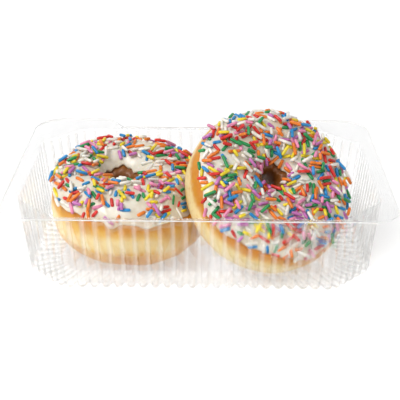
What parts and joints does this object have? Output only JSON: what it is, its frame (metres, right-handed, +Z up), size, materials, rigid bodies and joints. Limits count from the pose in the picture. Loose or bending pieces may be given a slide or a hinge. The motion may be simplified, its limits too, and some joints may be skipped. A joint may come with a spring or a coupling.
{
  "type": "tray of ring doughnuts",
  "caption": "Open clear plastic tray with fluted floor edge and walls, holding ring doughnuts with white icing and mixed colour sprinkles, one leaning on the other.",
  "frame": {"origin": "on the table, under the middle of the tray", "axes": "+X to the right along the tray's length, -Y to the front, +Z up"},
  "size_m": [0.22, 0.1556, 0.0844],
  "materials": {
    "clear_plastic": "gloss",
    "dough": "matte",
    "icing": "gloss",
    "sprinkles": "satin"
  },
  "bodies": {
    "root": {"tray": "clear_plastic", "doughnut_left": "dough", "icing_left": "icing", "doughnut_right": "dough", "icing_right": "icing"}
  },
  "joints": []
}
